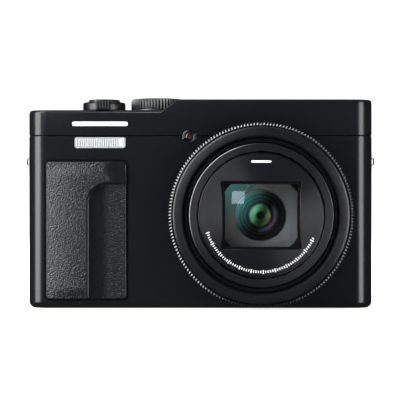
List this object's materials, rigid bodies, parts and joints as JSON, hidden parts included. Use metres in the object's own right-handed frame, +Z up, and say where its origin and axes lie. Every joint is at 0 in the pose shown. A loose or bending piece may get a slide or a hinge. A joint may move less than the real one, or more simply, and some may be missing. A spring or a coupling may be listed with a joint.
{
  "type": "compact digital camera",
  "caption": "Compact digital camera with a retracting zoom lens behind a knurled control ring, a grip, a viewfinder hump and a tilting rear screen.",
  "frame": {"origin": "centre of the tripod socket's mouth, in the base plane", "axes": "+X to the viewer's right when facing the lens, the lens looks along -Y, +Z up"},
  "size_m": [0.1146, 0.0414, 0.0684],
  "materials": {
    "body_black": "fine matt black paint",
    "grip_rubber": "leather-grained rubber",
    "trim_black": "matt",
    "ring_black": "semi-matt, knurled",
    "barrel_black": "satin",
    "plate_black": "matt",
    "lens_glass": "coated",
    "lamp_glass": "tinted",
    "flash_diffuser": "clear, ribbed",
    "bright_metal": "polished",
    "steel": "machined",
    "screw_black": "black zinc",
    "alloy": "cast",
    "inner_black": "moulded",
    "circuit_green": "lacquered",
    "gear_brass": "machined",
    "cell_grey": "wrapped",
    "card_blue": "moulded",
    "button_black": "satin",
    "cup_rubber": "matt",
    "screen_black": "polished"
  },
  "bodies": {
    "camera_body": {"front_cover": "body_black", "rear_cover": "body_black", "top_cover": "body_black", "chassis": "alloy", "grip_pad": "grip_rubber", "thumb_rest": "grip_rubber", "strap_lugs": "bright_metal", "flash_window": "flash_diffuser", "flash_reflector": "bright_metal", "flash_capacitor": "button_black", "af_lamp_bezel": "trim_black", "af_lamp_lens": "lamp_glass", "tripod_socket": "steel", "cover_screws": "screw_black", "lens_mount_ring": "barrel_black", "lens_housing": "inner_black", "image_sensor": "circuit_green", "zoom_motor": "steel", "viewfinder_module": "inner_black", "eyepiece_lens": "lens_glass", "eye_cup": "cup_rubber", "main_board": "circuit_green", "battery": "cell_grey", "battery_case": "inner_black", "memory_card": "card_blue", "usb_port": "steel", "hdmi_port": "steel", "hinge_pins": "steel"},
    "cam_ring": {"cam_ring": "alloy"},
    "zoom_gear": {"zoom_gear": "gear_brass"},
    "barrel_1": {"barrel_1": "barrel_black", "zoom_lens_group": "lens_glass"},
    "barrel_2": {"barrel_2": "barrel_black", "front_plate": "plate_black", "lens_retainer": "plate_black", "front_lens": "lens_glass"},
    "blade_upper_inner": {"blade_upper_inner": "plate_black"},
    "blade_upper_middle": {"blade_upper_middle": "plate_black"},
    "blade_upper_outer": {"blade_upper_outer": "plate_black"},
    "blade_lower_inner": {"blade_lower_inner": "plate_black"},
    "blade_lower_middle": {"blade_lower_middle": "plate_black"},
    "blade_lower_outer": {"blade_lower_outer": "plate_black"},
    "focus_lens": {"focus_lens": "lens_glass"},
    "control_ring": {"control_ring": "ring_black"},
    "zoom_lever": {"zoom_lever": "trim_black"},
    "shutter_button": {"shutter_button": "button_black"},
    "mode_dial": {"mode_dial": "ring_black"},
    "power_button": {"power_button": "button_black"},
    "movie_button": {"movie_button": "button_black"},
    "diopter_dial": {"diopter_dial": "trim_black"},
    "lcd_arm": {"lcd_arm": "steel"},
    "lcd_screen": {"lcd_housing": "trim_black", "lcd_panel": "screen_black"},
    "battery_door": {"battery_door": "trim_black"},
    "battery_latch": {"battery_latch": "button_black"},
    "port_door": {"port_door": "body_black"},
    "nav_dial": {"nav_dial": "ring_black"},
    "set_button": {"set_button": "button_black"},
    "playback_button": {"playback_button": "button_black"},
    "fn_button": {"fn_button": "button_black"}
  },
  "joints": [
    {"name": "zoom_cam", "type": "hinge", "parent": "camera_body", "child": "cam_ring", "pos_m": [0.01935, 0, 0.0302], "axis": [0, 1, 0], "range_deg": [0, 150]},
    {"name": "zoom_gear_spin", "type": "hinge", "parent": "camera_body", "child": "zoom_gear", "pos_m": [-0.00671, 0, 0.04406], "axis": [0, 1, 0], "range_deg": [-1115, 0]},
    {"name": "barrel_1_slide", "type": "slide", "parent": "camera_body", "child": "barrel_1", "axis": [0, -1, 0], "range_m": [0, 0.017]},
    {"name": "barrel_2_slide", "type": "slide", "parent": "barrel_1", "child": "barrel_2", "axis": [0, -1, 0], "range_m": [0, 0.016]},
    {"name": "focus_slide", "type": "slide", "parent": "camera_body", "child": "focus_lens", "axis": [0, 1, 0], "range_m": [-0.0015, 0.0015]},
    {"name": "barrier_upper_inner", "type": "slide", "parent": "barrel_2", "child": "blade_upper_inner", "axis": [0, 0, -1], "range_m": [0, 0.0108]},
    {"name": "barrier_upper_middle", "type": "slide", "parent": "barrel_2", "child": "blade_upper_middle", "axis": [0, 0, -1], "range_m": [0, 0.0072]},
    {"name": "barrier_upper_outer", "type": "slide", "parent": "barrel_2", "child": "blade_upper_outer", "axis": [0, 0, -1], "range_m": [0, 0.0036]},
    {"name": "barrier_lower_inner", "type": "slide", "parent": "barrel_2", "child": "blade_lower_inner", "axis": [0, 0, 1], "range_m": [0, 0.0108]},
    {"name": "barrier_lower_middle", "type": "slide", "parent": "barrel_2", "child": "blade_lower_middle", "axis": [0, 0, 1], "range_m": [0, 0.0072]},
    {"name": "barrier_lower_outer", "type": "slide", "parent": "barrel_2", "child": "blade_lower_outer", "axis": [0, 0, 1], "range_m": [0, 0.0036]},
    {"name": "control_ring_turn", "type": "hinge", "parent": "camera_body", "child": "control_ring", "pos_m": [0.01935, 0, 0.0302], "axis": [0, 1, 0], "continuous": true},
    {"name": "zoom_lever_turn", "type": "hinge", "parent": "camera_body", "child": "zoom_lever", "pos_m": [-0.0316, -0.0045, 0.066], "axis": [0, 0, 1], "range_deg": [-22, 22], "stiffness_Nm_per_rad": 0.02},
    {"name": "shutter_press", "type": "slide", "parent": "camera_body", "child": "shutter_button", "axis": [0, 0, -1], "range_m": [0, 0.001], "stiffness_N_per_m": 600},
    {"name": "mode_dial_turn", "type": "hinge", "parent": "camera_body", "child": "mode_dial", "pos_m": [-0.0143, -0.0005, 0.066], "axis": [0, 0, 1], "continuous": true},
    {"name": "power_press", "type": "slide", "parent": "camera_body", "child": "power_button", "axis": [0, 0, -1], "range_m": [0, 0.0006], "stiffness_N_per_m": 500},
    {"name": "movie_press", "type": "slide", "parent": "camera_body", "child": "movie_button", "axis": [0, 0, -1], "range_m": [0, 0.0006], "stiffness_N_per_m": 500},
    {"name": "diopter_turn", "type": "hinge", "parent": "camera_body", "child": "diopter_dial", "pos_m": [0.05167, 0.0082, 0.0537], "axis": [0, 1, 0], "continuous": true},
    {"name": "screen_arm", "type": "hinge", "parent": "camera_body", "child": "lcd_arm", "pos_m": [0.0174, 0.0109, 0.029], "axis": [-1, 0, 0], "range_deg": [0, 20]},
    {"name": "screen_tilt", "type": "hinge", "parent": "lcd_arm", "child": "lcd_screen", "pos_m": [0.0174, 0.0127, 0.0512], "axis": [1, 0, 0], "range_deg": [0, 200]},
    {"name": "battery_door_hinge", "type": "hinge", "parent": "camera_body", "child": "battery_door", "pos_m": [-0.0142, -0.00235, 0.0006], "axis": [0, -1, 0], "range_deg": [0, 100]},
    {"name": "battery_latch_slide", "type": "slide", "parent": "battery_door", "child": "battery_latch", "axis": [1, 0, 0], "range_m": [0, 0.0019]},
    {"name": "port_door_hinge", "type": "hinge", "parent": "camera_body", "child": "port_door", "pos_m": [0.05567, 0.0044, 0.0379], "axis": [0, 0, 1], "range_deg": [0, 110]},
    {"name": "nav_dial_turn", "type": "hinge", "parent": "camera_body", "child": "nav_dial", "pos_m": [-0.0375, 0.0135, 0.021], "axis": [0, 1, 0], "continuous": true},
    {"name": "set_press", "type": "slide", "parent": "camera_body", "child": "set_button", "axis": [0, -1, 0], "range_m": [0, 0.0005], "stiffness_N_per_m": 500},
    {"name": "playback_press", "type": "slide", "parent": "camera_body", "child": "playback_button", "axis": [0, -1, 0], "range_m": [0, 0.0005], "stiffness_N_per_m": 500},
    {"name": "fn_press", "type": "slide", "parent": "camera_body", "child": "fn_button", "axis": [0, -1, 0], "range_m": [0, 0.0005], "stiffness_N_per_m": 500}
  ],
  "couplings": [
    {"joint": "barrel_1_slide", "follows": "zoom_cam", "m_per_rad": 0.006493},
    {"joint": "barrel_2_slide", "follows": "zoom_cam", "m_per_rad": 0.006111},
    {"joint": "zoom_gear_spin", "follows": "zoom_cam", "ratio": -7.4286},
    {"joint": "screen_arm", "follows": "screen_tilt", "ratio": 0.1},
    {"joint": "barrier_upper_middle", "follows": "barrier_upper_inner", "ratio": 0.66667},
    {"joint": "barrier_upper_outer", "follows": "barrier_upper_inner", "ratio": 0.33333},
    {"joint": "barrier_lower_inner", "follows": "barrier_upper_inner", "ratio": 1},
    {"joint": "barrier_lower_middle", "follows": "barrier_upper_inner", "ratio": 0.66667},
    {"joint": "barrier_lower_outer", "follows": "barrier_upper_inner", "ratio": 0.33333}
  ]
}
